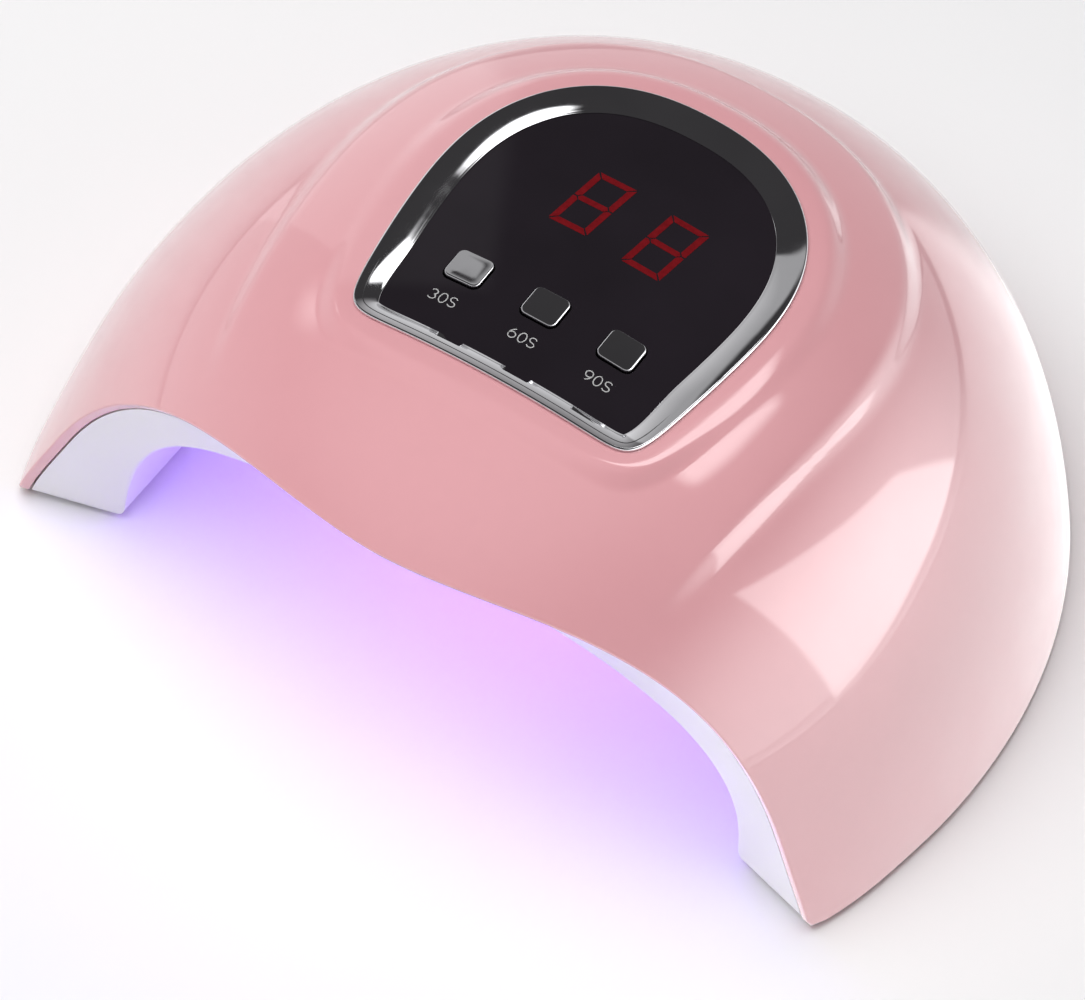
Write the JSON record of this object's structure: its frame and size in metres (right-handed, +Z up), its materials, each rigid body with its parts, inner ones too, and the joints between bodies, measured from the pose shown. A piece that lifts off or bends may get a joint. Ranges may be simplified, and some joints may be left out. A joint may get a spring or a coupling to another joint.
{
  "type": "nail curing lamp",
  "caption": "Domed nail curing lamp, open at the front and below for a hand, with a chrome-rimmed black panel of push buttons and seven-segment digits.",
  "frame": {"origin": "middle of the footprint, on the surface that the rubber feet stand on", "axes": "+X to the right seen from the hand entrance, +Y away from the entrance towards the power inlet, +Z up"},
  "size_m": [0.2038, 0.189, 0.0899],
  "materials": {
    "pink_shell": "high gloss",
    "white_liner": "satin",
    "chrome_trim": "mirror plated plastic",
    "black_panel": "high gloss",
    "display_red": "tinted red",
    "led_lens": "clear gloss",
    "white_board": "satin",
    "green_board": "satin",
    "grey_rubber": "matt",
    "plated_steel": "zinc plated",
    "red_wire": "satin",
    "black_part": "satin"
  },
  "bodies": {
    "housing": {"bezel_ring": "chrome_trim", "board_screw_1": "plated_steel", "board_screw_2": "plated_steel", "board_screw_3": "plated_steel", "board_screw_4": "plated_steel", "control_board": "green_board", "dc_inlet": "black_part", "digit_display": "display_red", "display_panel": "black_panel", "filter_capacitor": "plated_steel", "foot_1": "grey_rubber", "foot_2": "grey_rubber", "foot_3": "grey_rubber", "foot_4": "grey_rubber", "inner_liner": "white_liner", "ir_sensor": "black_part", "led_bead_front_1": "led_lens", "led_bead_front_2": "led_lens", "led_bead_front_3": "led_lens", "led_bead_front_4": "led_lens", "led_bead_front_5": "led_lens", "led_bead_front_6": "led_lens", "led_bead_middle_1": "led_lens", "led_bead_middle_2": "led_lens", "led_bead_middle_3": "led_lens", "led_bead_middle_4": "led_lens", "led_bead_middle_5": "led_lens", "led_bead_middle_6": "led_lens", "led_bead_rear_1": "led_lens", "led_bead_rear_2": "led_lens", "led_bead_rear_3": "led_lens", "led_bead_rear_4": "led_lens", "led_bead_rear_5": "led_lens", "led_bead_rear_6": "led_lens", "led_lead_front": "red_wire", "led_lead_middle": "red_wire", "led_lead_rear": "red_wire", "led_strip_front": "white_board", "led_strip_middle": "white_board", "led_strip_rear": "white_board", "microcontroller": "black_part", "outer_shell": "pink_shell", "power_inductor": "plated_steel", "power_lead": "black_part", "sensor_board": "green_board", "sensor_lead": "red_wire", "shell_screw_1": "plated_steel", "shell_screw_2": "plated_steel", "shell_screw_3": "plated_steel", "shell_screw_4": "plated_steel", "tact_switch_30s": "black_part", "tact_switch_60s": "black_part", "tact_switch_90s": "black_part"},
    "button_30s": {"button_cap_30s": "chrome_trim", "tact_plunger_30s": "black_part"},
    "button_60s": {"button_cap_60s": "chrome_trim", "tact_plunger_60s": "black_part"},
    "button_90s": {"button_cap_90s": "chrome_trim", "tact_plunger_90s": "black_part"}
  },
  "joints": [
    {"name": "press_30s", "type": "slide", "parent": "housing", "child": "button_30s", "axis": [0, 0, 1], "range_m": [-0.0006, 0], "stiffness_N_per_m": 800, "springref_m": 0.0005},
    {"name": "press_60s", "type": "slide", "parent": "housing", "child": "button_60s", "axis": [0, 0, 1], "range_m": [-0.0006, 0], "stiffness_N_per_m": 800, "springref_m": 0.0005},
    {"name": "press_90s", "type": "slide", "parent": "housing", "child": "button_90s", "axis": [0, 0, 1], "range_m": [-0.0006, 0], "stiffness_N_per_m": 800, "springref_m": 0.0005}
  ]
}
